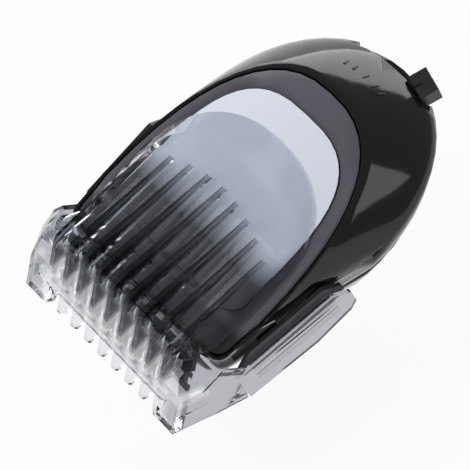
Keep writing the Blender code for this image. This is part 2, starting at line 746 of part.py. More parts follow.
def build_chassis():
    """Deck under the panel, with the selector's hub post and the detent's pegs."""
    outline = half_outline(
        CHASSIS_HALF_WIDTH, PANEL_APEX - CHASSIS_INSET, PANEL_CENTRE, PANEL_FRONT, PANEL_POWER, CHASSIS_INSET
    )
    top = -PANEL_THICKNESS - GAP
    rings = [on_panel(outline, top), on_panel(outline, top - CHASSIS_THICKNESS)]
    chassis = loft("chassis", rings, DECK_FRAME, GREY_NYLON, PANEL_COLUMNS)
    root = top - CHASSIS_THICKNESS / 2
    post_end = SELECTOR_TOP - SELECTOR_THICKNESS - 2 * GAP - RETAINER_THICKNESS
    fuse(chassis, rod("hub_post", HUB_POST_RADIUS, (0, 0, root), (0, 0, post_end), HUB_FRAME))
    front_peg = (LEAF_FOOT_U - 3 * PEG_RADIUS, LEAF_FOOT_V - LEAF_THICKNESS - GAP - PEG_RADIUS)
    rear_peg = (LEAF_FOOT_U - PEG_RADIUS, LEAF_FOOT_V + GAP + PEG_RADIUS)
    for u, v in (front_peg, rear_peg):
        end = SELECTOR_TOP - SELECTOR_THICKNESS
        fuse(chassis, rod("detent_peg", PEG_RADIUS, (u, v, root), (u, v, end), HUB_FRAME, None, SMALL_SIDES))
    for u, v, seat in pillar_places():
        cut(
            chassis,
            rod("chassis_hole", SCREW_RADIUS + GAP, (u, v, seat), (u, v, 0), DECK_FRAME, None, SMALL_SIDES)
        )


def turned(name, profile, frame, material=None, closed=False, sides=ROUND_SIDES):
    """Turned solid about Z from a profile of radius and height that runs down its outer side."""
    bm = bmesh.new()
    points = [bm.verts.new((radius, 0, height)) for radius, height in profile]
    for first, second in zip(points, points[1:]):
        bm.edges.new((first, second))
    if closed:
        bm.edges.new((points[-1], points[0]))
    mesh = bpy.data.meshes.new(name)
    bm.to_mesh(mesh)
    bm.free()
    item = add_object(name, mesh, frame, material)
    screw = item.modifiers.new("turn", "SCREW")
    screw.axis = "Z"
    screw.steps = sides
    screw.render_steps = sides
    screw.use_merge_vertices = True
    screw.merge_threshold = MERGE_DISTANCE
    screw.use_smooth_shade = False
    return item


def build_screws():
    """Four screws from the underside through the pillars into the chassis."""
    for number, (u, v, seat) in enumerate(pillar_places(), 1):
        top = panel_height(u, v) - PANEL_THICKNESS - 2 * GAP
        shoulder = seat - GAP
        bottom = shoulder - SCREW_HEAD_HEIGHT
        profile = [
            (0, top), (SCREW_RADIUS, top), (SCREW_RADIUS, shoulder), (SCREW_HEAD_RADIUS, shoulder),
            (SCREW_HEAD_RADIUS, bottom), (0, bottom),
        ]
        screw = turned(f"housing_screw_{number}", profile, DECK_FRAME, STEEL, sides=SMALL_SIDES)
        screw.location = (u, v, 0)


# Selector

def build_selector():
    """Selector plate with its strip, hub and drive pin, and the pieces that hold and click it."""
    bottom = SELECTOR_TOP - SELECTOR_THICKNESS
    sections = []
    for i in range(STRIP_STEPS + 1):
        share = 2 * i / STRIP_STEPS - 1
        angle = STRIP_HALF_ANGLE * share
        reach = STRIP_RADIUS + STRIP_FLARE * (1 - share**2)
        profile = [
            (STRIP_INNER, bottom), (reach, bottom), (reach, bottom + STRIP_LIP),
            (STRIP_INNER + STRIP_CREST, STRIP_TOP), (STRIP_INNER, STRIP_TOP),
        ]
        sections.append(
            [(radius * math.sin(angle), radius * math.cos(angle), height) for radius, height in profile]
        )
    bm, loops = skin(sections)
    for loop in (loops[0], loops[-1]):
        bm.faces.new(loop)
    plate = add_object("selector_plate", mesh_from(bm, "selector_plate"), SELECTOR_FRAME, MATTE_BLACK)
    web_outline = arc(STRIP_INNER + STRIP_CREST, -WEB_HALF_ANGLE, WEB_HALF_ANGLE, ARC_STEPS)
    web_outline += arc(HUB_RADIUS / 2, WEB_HALF_ANGLE, -WEB_HALF_ANGLE, ARC_STEPS // 2)
    web = plan_plate("selector_web", [web_outline], bottom, SELECTOR_THICKNESS, SELECTOR_FRAME)
    hub = rod("selector_hub", HUB_RADIUS, (0, 0, bottom), (0, 0, SELECTOR_TOP), SELECTOR_FRAME)
    lobe = rod(
        "pin_lobe", 2 * DRIVE_PIN_RADIUS, (-DRIVE_PIN_OFFSET, 0, bottom), (-DRIVE_PIN_OFFSET, 0, SELECTOR_TOP),
        SELECTOR_FRAME, None, SMALL_SIDES,
    )
    arm = box(
        "pin_arm", (-DRIVE_PIN_OFFSET, -DRIVE_PIN_RADIUS, bottom), (0, DRIVE_PIN_RADIUS, SELECTOR_TOP),
        SELECTOR_FRAME
    )
    pin = rod(
        "drive_pin", DRIVE_PIN_RADIUS, (-DRIVE_PIN_OFFSET, 0, bottom + GAP), (-DRIVE_PIN_OFFSET, 0, BRIDGE_TOP),
        SELECTOR_FRAME, None, SMALL_SIDES,
    )
    fuse(plate, web, hub, arm, lobe, pin)
    half_channel = BUTTON_WIDTH / 2 + GAP
    channel = box(
        "button_channel", (-half_channel, BUTTON_STEM - BUTTON_TRAVEL - GAP, -FAR), (half_channel, FAR, FAR),
        SELECTOR_FRAME,
    )
    hub_bore = rod("hub_bore", HUB_POST_RADIUS + GAP, (0, 0, -FAR), (0, 0, FAR), SELECTOR_FRAME)
    cut(plate, channel, hub_bore)
    step = 2 * SWING_HALF_ANGLE / (DETENT_COUNT - 1)
    for i in range(DETENT_COUNT):
        angle = math.pi + (i - (DETENT_COUNT - 1) / 2) * step
        (u, v), = arc(HUB_RADIUS, angle, angle, 1)[:1]
        cut(plate, rod("detent_notch", DETENT_RADIUS, (u, v, -FAR), (u, v, FAR), SELECTOR_FRAME, None, 12))

    button = box(
        "selector_button", (-BUTTON_WIDTH / 2, BUTTON_STEM, bottom),
        (BUTTON_WIDTH / 2, BUTTON_REACH, SELECTOR_TOP),
        SELECTOR_FRAME, MATTE_BLACK,
    )
    tab = box(
        "button_tab", (-BUTTON_WIDTH / 2, BUTTON_TAB, bottom),
        (BUTTON_WIDTH / 2, BUTTON_REACH, bottom + BUTTON_HEIGHT),
        SELECTOR_FRAME,
    )
    mark = box(
        "button_mark", (-BUTTON_MARK / 2, 0, bottom + BUTTON_HEIGHT - BUTTON_MARK / 2),
        (BUTTON_MARK / 2, BUTTON_REACH - BUTTON_MARK_INSET, FAR),
        SELECTOR_FRAME,
    )
    fuse(button, tab)
    cut(button, mark)

    retainer_top = bottom - GAP
    retainer = rod(
        "selector_retainer", RETAINER_RADIUS, (0, 0, retainer_top - RETAINER_THICKNESS), (0, 0, retainer_top),
        HUB_FRAME, STEEL,
    )
    cut(retainer, rod("retainer_bore", HUB_POST_RADIUS + GAP, (0, 0, -FAR), (0, 0, FAR), HUB_FRAME))

    nub = -HUB_RADIUS - GAP
    back = [(LEAF_FOOT_U, LEAF_FOOT_V), (LEAF_FOOT_U / 2, LEAF_FOOT_V), (0.0, nub), (-LEAF_TAIL, LEAF_FOOT_V)]
    front = [(u, v - LEAF_THICKNESS) for u, v in back[::-1]]
    plan_plate("detent_spring", [back + front], bottom, SELECTOR_THICKNESS, HUB_FRAME, STEEL)


# Carriage and rails

def rail_angle():
    """Angle by which the rails and the comb's arms spread towards the rear."""
    return math.atan(RAIL_SPREAD)


def build_carriage():
    """Bridge that the selector's pin drives, and the two side rails on its ends."""
    rear = BRIDGE_FRONT + BRIDGE_DEPTH
    reach = (RAIL_INNER + RAIL_SPREAD * BRIDGE_FRONT) - GAP
    pin_v = HUB_V + DRIVE_PIN_OFFSET * math.sin(SWING_HALF_ANGLE)
    tongue_left = -DRIVE_PIN_OFFSET - TONGUE_WIDTH / 2
    tongue_end = pin_v + DRIVE_PIN_RADIUS + GAP + TONGUE_MARGIN
    outline = [
        (-reach, BRIDGE_FRONT), (reach, BRIDGE_FRONT), (reach, rear), (tongue_left + TONGUE_WIDTH, rear),
        (tongue_left + TONGUE_WIDTH, tongue_end), (tongue_left, tongue_end), (tongue_left, rear),
        (-reach, rear),
    ]
    bridge = plan_plate(
        "carriage_bridge", [outline], BRIDGE_TOP - BRIDGE_THICKNESS, BRIDGE_THICKNESS, DECK_FRAME, GREY_NYLON
    )
    half_slot = DRIVE_PIN_RADIUS + GAP
    slot = box(
        "pin_slot", (-DRIVE_PIN_OFFSET - half_slot, pin_v - half_slot, -FAR),
        (-DRIVE_PIN_OFFSET + 1.3 * half_slot, pin_v + half_slot, FAR), DECK_FRAME,
    )
    cut(bridge, slot)
    bottom = RAIL_TOP - RAIL_HEIGHT
    rail = [
        (RAIL_FRONT, bottom), (RAIL_REAR, bottom), (RAIL_REAR, RAIL_TOP - RAIL_CHAMFER),
        (RAIL_REAR - RAIL_CHAMFER, RAIL_TOP), (RAIL_FRONT + RAIL_CHAMFER, RAIL_TOP),
        (RAIL_FRONT, RAIL_TOP - RAIL_CHAMFER),
    ]
    for name, side in (("right_rail", 1), ("left_rail", -1)):
        middle = side * (RAIL_INNER + RAIL_THICKNESS / 2)
        side_plate(name, [rail], middle, RAIL_THICKNESS, DECK_FRAME, MATTE_BLACK, -side * rail_angle())


# Comb

def on_front_line(height):
    """Deck place on the comb's front line, at a height along it over the tooth tips."""
    return TIP_V + height * math.sin(COMB_FRONT_LEAN), -TIP_DROP + height * math.cos(COMB_FRONT_LEAN)


def rib_outline(x):
    """Side outline of one rib plate: a rising top edge, a round bend and a straight front with a round tip."""
    spread = x / (RIB_PITCH * (RIB_COUNT // 2))
    crown = CROWN_DROP * abs(spread) ** CROWN_POWER
    rear = RIB_REAR - RIB_REAR_SWEEP * spread**2
    tip = Vector(on_front_line(0.0))
    bend = Vector(on_front_line((TIP_DROP + SHEET_TOP + BEND_RISE - crown) / math.cos(COMB_FRONT_LEAN)))
    down = (tip - bend).normalized()
    inward = Vector((-down.y, down.x))
    start = Vector((rear - RIB_REAR_RISE, SHEET_TOP + RIB_REAR_RISE))
    back = (start - bend).normalized()
    points = [(rear, SHEET_TOP - GAP), tuple(start)]
    for share in (0.0, 0.5, 1.0):
        easing = back * (1 - share) ** 2 + down * share**2
        points.append(tuple(bend + easing * BEND_ROUND))
    middle = tip + inward * RIB_DEPTH / 2 - down * RIB_DEPTH / 2
    for k in range(7):
        angle = math.pi * k / 6
        points.append(tuple(middle + (down * math.sin(angle) - inward * math.cos(angle)) * RIB_DEPTH / 2))
    inner = tip + inward * RIB_DEPTH
    climb = (SHEET_TOP - SHEET_THICKNESS / 2 - inner.y) / down.y
    points.append(tuple(inner + down * climb))
    return points


def arm_outline():
    """Side outline of the comb's arm, with its chamfered rear end."""
    return [
        (ARM_FRONT, ARM_TOP - ARM_TAPER), (ARM_REAR - ARM_CHAMFER, ARM_TOP), (ARM_REAR, ARM_TOP - ARM_CHAMFER),
        (ARM_REAR, ARM_BOTTOM + ARM_CHAMFER), (ARM_REAR - ARM_CHAMFER / 2, ARM_BOTTOM + ARM_CHAMFER / 2),
        (ARM_REAR - 3 * ARM_CHAMFER, ARM_BOTTOM), (ARM_FRONT, ARM_BOTTOM + ARM_TAPER),
    ]


def shoulder_solid(side):
    """Faceted corner wall of the comb, lofted from the corner post back to a slanted end over the arm."""
    front = [(SHOULDER_INNER, FRONT_SHOULDER_HEIGHT), (SHOULDER_OUTER, FRONT_SHOULDER_HEIGHT - SHOULDER_DROP)]
    front += [(POST_OUTER, CHEEK_HEIGHT), (POST_OUTER, CHEEK_HEIGHT / 2), (POST_OUTER, 0.0)]
    outer = [[Vector((u, *on_front_line(height))) for u, height in front]]
    wall = RAIL_INNER + RAIL_THICKNESS + GAP + ARM_THICKNESS - WALL_STEP
    arm_corner = ARM_TOP - ARM_TAPER
    places = (
        (WALL_FRONT, WALL_FRONT_LEAN, SHOULDER_OUTER, WALL_TOP, WALL_FRONT_FOOT),
        (WALL_REAR, WALL_REAR_LEAN, REAR_SHOULDER_OUTER, WALL_REAR_TOP, ARM_BOTTOM + ARM_TAPER),
    )
    for v, lean, edge, top, foot in places:
        section = [(SHOULDER_INNER, v, SHOULDER_TOP), (edge, v, SHOULDER_TOP - SHOULDER_DROP)]
        for along, height in ((v, top), (v + lean, arm_corner), (v + lean / 2, foot)):
            section.append((wall + RAIL_SPREAD * along, along, height))
        outer.append([Vector(point) for point in section])
    across = Vector((-WALL_THICKNESS, 0, 0))
    down = Vector((0, 0, -WALL_THICKNESS))
    offsets = [down, down + across / 2, across + down / 2, across, across]
    slants = [0.0, 0.0, WALL_SLANT, WALL_SLANT, 0.0]
    sections = []
    for points in outer:
        inner = [point + offset for point, offset in zip(points, offsets)]
        if points is outer[-1]:
            inner = [point + Vector((RAIL_SPREAD * slant, slant, 0)) for point, slant in zip(inner, slants)]
        sections.append([(side * point.x, point.y, point.z) for point in points + inner[::-1]])
    bm, loops = skin(sections)
    for loop in (loops[0], loops[-1]):
        for i in range(len(offsets) - 1):
            bm.faces.new((loop[i], loop[i + 1], loop[-2 - i], loop[-1 - i]))
    bmesh.ops.triangulate(bm, faces=bm.faces)
    return add_object("shoulder", mesh_from(bm, "shoulder"), DECK_FRAME)


def build_comb():
    """Clear comb: rimmed top sheet, rib plates with fins, front bar, corner posts, shoulders and side arms."""
    def plateau(inset, height):
        outline = half_outline(
            PLATEAU_HALF_WIDTH - inset, PLATEAU_APEX - inset, RIM_CENTRE, SHEET_FRONT + inset,
            PLATEAU_POWER, SHEET_CORNER,
        )
        return [Vector((u, v, height)) for u, v in outline]

    def rim(inset, rise):
        outline = half_outline(
            RIM_HALF_WIDTH - inset, RIM_APEX - inset, RIM_CENTRE, SHEET_FRONT + inset, RIM_POWER, SHEET_CORNER
        )
        ring = []
        for u, v in outline:
            blend = min(max((RIM_RISE_V - v) / (RIM_RISE_V - SHEET_FRONT - SHEET_CORNER), 0.0), 1.0)
            low = panel_height(u, v) + SHEET_LIFT
            level = SHEET_TOP - SHEET_THICKNESS
            ring.append(Vector((u, v, low + (level - low) * blend**2 + rise)))
        return ring

    rings = [
        plateau(0.0, SHEET_TOP), rim(0.0, SHEET_EDGE), rim(0.0, 0.0), rim(SHEET_EDGE, 0.0),
        plateau(2 * SHEET_EDGE, SHEET_TOP - SHEET_THICKNESS),
    ]
    comb = loft("comb", rings, DECK_FRAME, CLEAR)
    for side in (-1, 1):
        fuse(comb, shoulder_solid(side))
    for i in range(RIB_COUNT):
        x = (i - RIB_COUNT // 2) * RIB_PITCH
        fuse(comb, side_plate("rib", [rib_outline(x)], x, RIB_THICKNESS, DECK_FRAME))
    bar = box(
        "front_bar", (-BAR_HALF_LENGTH, -BAR_THICKNESS / 2, BAR_ABOVE_TIP),
        (BAR_HALF_LENGTH, BAR_THICKNESS / 2, BAR_ABOVE_TIP + BAR_HEIGHT), COMB_FRONT_FRAME,
    )
    fuse(comb, bar)
    arm_middle = RAIL_INNER + RAIL_THICKNESS + GAP + ARM_THICKNESS / 2
    for side in (-1, 1):
        low, high = sorted((side * POST_INNER, side * (POST_OUTER - WALL_STEP)))
        post = box("corner_post", (low, GAP, -POST_TOE), (high, RIB_DEPTH - GAP, POST_HEIGHT), COMB_FRONT_FRAME)
        arm = side_plate(
            "side_arm", [arm_outline()], side * arm_middle, ARM_THICKNESS, DECK_FRAME, None,
            -side * rail_angle()
        )
        fuse(comb, post, arm)
        for top, bottom in ARM_GROOVES:
            front, rear = ARM_FRONT + ARM_CHAMFER, ARM_REAR - ARM_CHAMFER
            groove = side_plate(
                "arm_groove", [rectangle(front, bottom, rear, top)], side * (arm_middle + ARM_THICKNESS / 2),
                2 * ARM_GROOVE, DECK_FRAME, None, -side * rail_angle(),
            )
            cut(comb, groove)


# Cutter

def toothed_outline(half_width, tip, shoulder, height, neck):
    """Outline of a blade with a row of teeth along its lower edge."""
    count = int(2 * half_width / TOOTH_PITCH)
    start = -count * TOOTH_PITCH / 2
    points = [(-half_width, tip + TOOTH_LENGTH)]
    for i in range(count):
        middle = start + (i + 0.5) * TOOTH_PITCH
        root, point = TOOTH_WIDTH / 2, TOOTH_WIDTH / 4
        points += [
            (middle - root, tip + TOOTH_LENGTH), (middle - point, tip), (middle + point, tip),
            (middle + root, tip + TOOTH_LENGTH),
        ]
    points += [(half_width, tip + TOOTH_LENGTH), (half_width, shoulder)]
    if neck < half_width:
        points += [(neck, shoulder), (neck, height), (-neck, height), (-neck, shoulder)]
    points.append((-half_width, shoulder))
    return points


def circle(x, z, radius):
    """Points round a circle."""
    return arc(radius, 0.0, 2 * math.pi, SMALL_SIDES, (x, z))[:-1]


def rectangle(x_low, z_low, x_high, z_high):
    """Corners of a rectangle."""
    return [(x_low, z_low), (x_high, z_low), (x_high, z_high), (x_low, z_high)]


def build_cutter():
    """Fixed and moving blades, their holder, spring, driver and screws."""
    holes = [circle(x, BLADE_SCREW_Z, BLADE_SCREW_RADIUS + GAP) for x in (-BLADE_SCREW_X, BLADE_SCREW_X)]
    front_plate(
        "fixed_blade",
        [toothed_outline(FIXED_HALF_WIDTH, 0.0, FIXED_HEIGHT, FIXED_HEIGHT, FIXED_HALF_WIDTH), *holes],
        0.0, FIXED_THICKNESS, CUTTER_FRAME, STEEL,
    )
    moving_front = FIXED_THICKNESS + GAP
    front_plate(
        "moving_blade",
        [toothed_outline(MOVING_HALF_WIDTH, MOVING_TIP, MOVING_SHOULDER, MOVING_HEIGHT, MOVING_NECK)],
        moving_front, MOVING_THICKNESS, CUTTER_FRAME, STEEL,
    )
    back = moving_front + MOVING_THICKNESS + GAP
    half_window = DRIVER_HALF_WIDTH + BLADE_STROKE + GAP
    window = rectangle(
        -half_window, DRIVER_BOTTOM - GAP, half_window, DRIVER_BOTTOM + DRIVER_HEIGHT + GAP
    )
    plate = rectangle(-HOLDER_HALF_WIDTH, HOLDER_BOTTOM, HOLDER_HALF_WIDTH, FIXED_HEIGHT)
    holder = front_plate(
        "blade_holder", [plate, window, *holes], back, HOLDER_THICKNESS, CUTTER_FRAME, MATTE_BLACK
    )
    pocket = box(
        "spring_pocket", (-LEAF_SPRING_HALF_LENGTH - GAP, 0, LEAF_SPRING_Z - GAP),
        (LEAF_SPRING_HALF_LENGTH + GAP, back + LEAF_SPRING_THICKNESS + GAP, LEAF_SPRING_Z + LEAF_SPRING_HEIGHT + GAP),
        CUTTER_FRAME,
    )
    cut(holder, pocket)
    box(
        "blade_spring", (-LEAF_SPRING_HALF_LENGTH, back, LEAF_SPRING_Z),
        (LEAF_SPRING_HALF_LENGTH, back + LEAF_SPRING_THICKNESS, LEAF_SPRING_Z + LEAF_SPRING_HEIGHT),
        CUTTER_FRAME, STEEL,
    )
    driver = box(
        "blade_driver", (-DRIVER_HALF_WIDTH, back, DRIVER_BOTTOM),
        (DRIVER_HALF_WIDTH, back + DRIVER_DEPTH, DRIVER_BOTTOM + DRIVER_HEIGHT), CUTTER_FRAME, WHITE_NYLON,
    )
    half_slot = ROCKER_TIP_WIDTH / 2 + GAP
    cut(driver, box("driver_slot", (-half_slot, back + OVERLAP, 0), (half_slot, FAR, FAR), CUTTER_FRAME))

    profile = [
        (0, BLADE_SCREW_HEAD_HEIGHT + GAP), (BLADE_SCREW_HEAD, BLADE_SCREW_HEAD_HEIGHT + GAP),
        (BLADE_SCREW_HEAD, GAP),
        (BLADE_SCREW_RADIUS, GAP), (BLADE_SCREW_RADIUS, -BLADE_SCREW_LENGTH), (0, -BLADE_SCREW_LENGTH),
    ]
    for name, x in (("left_blade_screw", -BLADE_SCREW_X), ("right_blade_screw", BLADE_SCREW_X)):
        screw = turned(name, profile, CUTTER_FRAME, STEEL, sides=SMALL_SIDES)
        screw.location = (x, 0, BLADE_SCREW_Z)
        screw.rotation_euler = (math.pi / 2, 0, 0)


# Drive

def build_drive():
    """Spindle with its bush and seal, and the rocker on its pin."""
    spindle = rod(
        "drive_spindle", SPINDLE_RADIUS, (0, 0, SPINDLE_BOTTOM), (0, 0, SPINDLE_TOP), BODY_FRAME,
        WHITE_NYLON
    )
    socket_top = SPINDLE_BOTTOM + SOCKET_HEIGHT
    socket = rod("spindle_socket", SOCKET_RADIUS, (0, 0, SPINDLE_BOTTOM), (0, 0, socket_top), BODY_FRAME)
    eccentric = rod(
        "eccentric", ECCENTRIC_RADIUS, (0, ECCENTRIC_OFFSET, SPINDLE_TOP - OVERLAP),
        (0, ECCENTRIC_OFFSET, ECCENTRIC_TOP),
        BODY_FRAME, None, SMALL_SIDES,
    )
    fuse(spindle, socket, eccentric)
    half = SOCKET_WIDTH / 2
    cut(
        spindle,
        box("socket_hole", (-half, -half, -FAR), (half, half, SPINDLE_BOTTOM + SOCKET_DEPTH), BODY_FRAME)
    )

    flange_bottom = FLOOR_HEIGHT + GAP
    bush = rod(
        "spindle_bush", BUSH_RADIUS, (0, 0, socket_top + GAP), (0, 0, flange_bottom + BUSH_FLANGE),
        BODY_FRAME, GREY_NYLON
    )
    flange = rod(
        "bush_flange", BUSH_FLANGE_RADIUS, (0, 0, flange_bottom), (0, 0, flange_bottom + BUSH_FLANGE),
        BODY_FRAME
    )
    fuse(bush, flange)
    seal_bottom = flange_bottom + BUSH_FLANGE + GAP
    seal = rod(
        "seal_ring", SEAL_RADIUS, (0, 0, seal_bottom), (0, 0, seal_bottom + SEAL_THICKNESS), BODY_FRAME,
        RUBBER
    )
    cut(bush, rod("bush_bore", SPINDLE_RADIUS + GAP, (0, 0, 0), (0, 0, FAR), BODY_FRAME))
    cut(seal, rod("seal_bore", SPINDLE_RADIUS + GAP, (0, 0, 0), (0, 0, FAR), BODY_FRAME))

    fork_half = 2 * ECCENTRIC_OFFSET + ECCENTRIC_RADIUS + GAP
    tine_out = fork_half + ROCKER_TINE
    tip = ROCKER_TIP_Y - ROCKER_PIVOT_Y
    fork_end = ROCKER_FORK_REACH - ROCKER_PIVOT_Y
    fork_root = -fork_half - ROCKER_PIVOT_Y
    half_tip = ROCKER_TIP_WIDTH / 2
    right = [
        (half_tip, tip), (half_tip, tip / 2), (ROCKER_BOSS_RADIUS * 0.7, 0),
        (tine_out, fork_root - ROCKER_TINE),
        (tine_out, fork_end), (fork_half, fork_end), (fork_half, fork_root),
    ]
    left = [(-a, b) for a, b in right[::-1]]
    rocker = plan_plate("rocker_arm", [right + left], ROCKER_BOTTOM, ROCKER_THICKNESS, ROCKER_FRAME, GREY_NYLON)
    boss = rod(
        "rocker_hub", ROCKER_BOSS_RADIUS, (0, 0, ROCKER_BOTTOM),
        (0, 0, ROCKER_BOTTOM + ROCKER_THICKNESS), ROCKER_FRAME
    )
    fuse(rocker, boss)
    cut(
        rocker,
        rod("rocker_bore", ROCKER_PIN_RADIUS + GAP, (0, 0, 0), (0, 0, FAR), ROCKER_FRAME, None, SMALL_SIDES)
    )
    rod(
        "rocker_pin", ROCKER_PIN_RADIUS, (0, 0, FLOOR_HEIGHT + 2 * GAP), (0, 0, ROCKER_PIN_TOP),
        ROCKER_FRAME, STEEL, SMALL_SIDES,
    )


def main():
    """Build every piece."""
    build_housing()
    build_panel()
    build_chassis()
    build_screws()
    build_selector()
    build_carriage()
    build_comb()
    build_cutter()
    build_drive()


main()
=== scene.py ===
"""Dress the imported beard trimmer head: finishes, dial ticks and a plain white studio."""

import json
import math

import bpy
from mathutils import Matrix, Vector


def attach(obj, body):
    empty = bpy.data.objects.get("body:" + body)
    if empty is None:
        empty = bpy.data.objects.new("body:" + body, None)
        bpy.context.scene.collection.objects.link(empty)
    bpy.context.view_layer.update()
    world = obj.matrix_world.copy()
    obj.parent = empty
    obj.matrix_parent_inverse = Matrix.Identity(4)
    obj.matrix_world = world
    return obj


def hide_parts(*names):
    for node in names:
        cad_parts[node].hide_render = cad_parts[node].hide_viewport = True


bl_info = {
    "name": "Beard trimmer head",
    "version": (1, 0, 0),
    "blender": (4, 5, 0),
    "location": "View3D > Sidebar > Trimmer head",
    "description": "Finishes and small fittings for a click-on trimmer head with a clear comb",
    "category": "Object",
}

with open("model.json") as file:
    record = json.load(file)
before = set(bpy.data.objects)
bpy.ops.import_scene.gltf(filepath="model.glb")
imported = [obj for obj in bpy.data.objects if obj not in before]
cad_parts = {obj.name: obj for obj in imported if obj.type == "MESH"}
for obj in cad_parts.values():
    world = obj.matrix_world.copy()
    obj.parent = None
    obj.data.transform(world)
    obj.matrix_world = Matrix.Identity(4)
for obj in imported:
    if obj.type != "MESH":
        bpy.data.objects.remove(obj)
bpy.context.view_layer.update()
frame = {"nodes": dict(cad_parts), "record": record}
NODES = frame["nodes"]
SLOT_OF = {part["node"]: part["material_slot"] for part in frame["record"]["subparts"]}
BODY_OF = {node: body for body, held in frame["record"]["behaviour"]["bodies"].items() for node in held}
SKINS = {}
MM = 0.001
FRAME_PIXELS = 470
DECK_PITCH = math.radians(20)
DECK_Y = 2.07 * MM
DECK_Z = 30.0 * MM

# Zones of the panel, the sheet and the comb, in millimetres on the deck
RIB_PITCH = 3.75
RIB_HALF = 0.5
RIB_SOFT = 0.15
PANEL_FRONT = (-24.0, -26.0)
SHEET_FADE = (-11.5, -17.5)
COMB_AHEAD = (-35.0, -36.5)
RIB_FOOT = (1.3, 1.9)
FIN_FOOT = (-4.5, -2.5)
BAR_BOTTOM = (-6.3, -5.9)
BAR_TOP = (-3.2, -3.6)
FLANK = (16.4, 17.2)

# Colours of those zones: painted shade on the front of the panel and the sheet, on the ribs and on the
# comb's sides; painted light on the fins and the bar
PANEL_PAINTED_SHADE = (0.02, 0.02, 0.022, 1.0)
SHEET_PAINTED_SHADE = (0.03, 0.033, 0.042, 1.0)
FIN_PAINTED_LIGHT = (0.80, 0.81, 0.84, 1.0)
FLANK_PAINTED_SHADE = (0.45, 0.46, 0.50, 1.0)
RIB_PAINTED_SHADE = (0.12, 0.125, 0.145, 1.0)
BAR_PAINTED_LIGHT = (0.95, 0.95, 0.96, 1.0)

# Dial ticks
TICK_COUNT = 5
TICK_CUTS = 5
TICK_RAISE = 12.0 * MM
TICK_OFFSET = 0.01 * MM
TICK_BEVEL = 0.04 * MM

# Stage
FLOOR_SIZE = 6.0
PLINTH_HEIGHT = 14.0 * MM
PLINTH_RADIUS = 9.5 * MM
PLINTH_GAP = 0.05 * MM
PLINTH_SIDES = 64
WHITE_SHARE = 0.93
STUDIO_COLOUR = (0.95, 0.96, 1.0, 1.0)
STUDIO_STRENGTH = 0.32
LAMP_AIM = Vector((0, 0, 20 * MM))
LAMPS = (
    ("key", (-0.25, -0.35, 0.55), (0.35, 0.35), 2.2, False),
    ("right_strip", (0.5, 0.33, 0.34), (0.3, 0.3), 0.55, True),
    ("fill", (-0.5, 0.25, 0.4), (0.4, 0.4), 0.9, False),
    ("rear_card", (-0.6, 0.5, 0.12), (1.3, 0.4), 4.5, True),
)
CAMERA_TARGET = Vector((1.198, -5.93, 14.5)) * MM
CAMERA_DISTANCE = 480.49 * MM
CAMERA_SIDE = (0.4384, -0.3699, 0.8192)
PIXELS_PER_METRE = 5.75 / MM
MERGE_DISTANCE = 0.002 * MM
SMOOTH_ANGLES = {
    "upper_housing": 32, "lower_housing": 32, "face_panel": 32, "label_sheet": 32, "comb": 12,
    "drive_spindle": 40, "spindle_bush": 40, "seal_ring": 40, "selector_plate": 32,
}


class Value:
    """Output of a shader node, with arithmetic that adds Math nodes."""

    def __init__(self, shader, socket):
        self.shader = shader
        self.socket = socket

    def math(self, operation, first, second):
        """Math node on two values."""
        return self.shader.node("ShaderNodeMath", {"operation": operation}, {0: first, 1: second})

    def __add__(self, other):
        return self.math("ADD", self, other)

    def __radd__(self, other):
        return self.math("ADD", other, self)

    def __sub__(self, other):
        return self.math("SUBTRACT", self, other)

    def __rsub__(self, other):
        return self.math("SUBTRACT", other, self)

    def __mul__(self, other):
        return self.math("MULTIPLY", self, other)

    def __rmul__(self, other):
        return self.math("MULTIPLY", other, self)


class Shader:
    """Node tree that is written as expressions."""

    def __init__(self, tree):
        self.tree = tree

    def node(self, kind, settings=None, inputs=None, output=0):
        """Add one node: its settings first, then the values or links of its inputs."""
        item = self.tree.nodes.new(kind)
        for name, value in (settings or {}).items():
            setattr(item, name, value)
        for name, value in (inputs or {}).items():
            self.feed(item.inputs[name], value)
        return Value(self, item.outputs[output])

    def feed(self, socket, value):
        """Link a value to a socket, or set it."""
        if isinstance(value, Value):
            self.tree.links.new(value.socket, socket)
        else:
            socket.default_value = value

    def place(self, stretch=(1.0, 1.0, 1.0)):
        """Object coordinates, stretched along the axes."""
        where = self.node("ShaderNodeTexCoord", None, None, "Object")
        return self.node("ShaderNodeMapping", None, {"Vector": where, "Scale": stretch})

    def noise(self, where, scale, detail=2.0):
        """Noise value from 0 to 1, with its scale in cells per metre."""
        return self.node("ShaderNodeTexNoise", None, {"Vector": where, "Scale": scale, "Detail": detail})

    def blend(self, share, first, second):
        """Colour between two colours."""
        return self.tint(share, (*first, 1.0), (*second, 1.0))

    def steps(self, value, low, high):
        """Value stretched from a low and a high bound to 0 and 1."""
        return self.node("ShaderNodeMapRange", None, {"Value": value, "From Min": low, "From Max": high})

    def deck(self):
        """Places across, along and over the deck that the panel and comb follow, in millimetres."""
        where = self.node("ShaderNodeTexCoord", None, None, "Object")
        parts = self.node("ShaderNodeSeparateXYZ", None, {0: where}).socket.node.outputs
        across = Value(self, parts["X"]) * (1 / MM)
        back = (Value(self, parts["Y"]) - DECK_Y) * (1 / MM)
        up = (Value(self, parts["Z"]) - DECK_Z) * (1 / MM)
        cosine, sine = math.cos(DECK_PITCH), math.sin(DECK_PITCH)
        return across, back * cosine + up * sine, up * cosine - back * sine

    def tint(self, share, first, second):
        """Colour between a colour and another, either of which may be a value."""
        return self.node("ShaderNodeMix", {"data_type": "RGBA"}, {0: share, 6: first, 7: second}, 2)

    def bump(self, height, distance, strength=1.0):
        """Normal from a height."""
        return self.node(
            "ShaderNodeBump", None, {"Height": height, "Distance": distance, "Strength": strength}
        )


def finish(name):
    """New material, its shader and its Principled node."""
    material = bpy.data.materials.new(name)
    material.use_nodes = True
    shader = Shader(material.node_tree)
    return material, shader, material.node_tree.nodes["Principled BSDF"]


